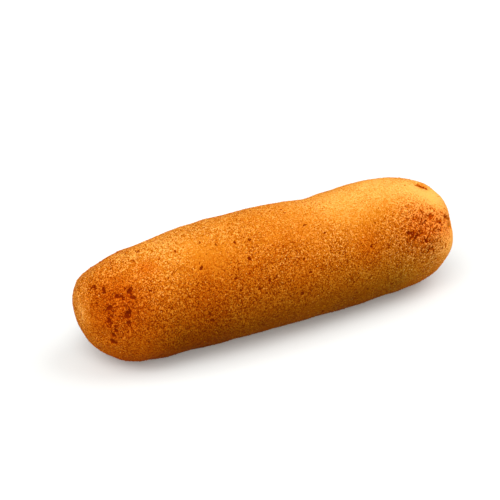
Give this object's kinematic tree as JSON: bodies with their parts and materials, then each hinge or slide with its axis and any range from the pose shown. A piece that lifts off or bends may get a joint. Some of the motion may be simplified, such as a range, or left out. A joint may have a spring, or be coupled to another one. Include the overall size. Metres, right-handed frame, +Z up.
{
  "type": "breaded sausage",
  "caption": "Whole fried sausage roll in a fine crumb coat, gently bowed, with rounded ends and a small flat underside that it lies on.",
  "frame": {"origin": "under the middle of the roll, on the surface that it lies on", "axes": "+X along the roll from its tapered end to its full end, +Y to the back, +Z up"},
  "size_m": [0.1174, 0.0362, 0.0352],
  "materials": {
    "crumb_crust": "golden brown fried crumb: grainy and dull, slightly oily, paler on top and browner near the underside and the ends"
  },
  "bodies": {
    "root": {"crusted_roll": "crumb_crust"}
  },
  "joints": []
}
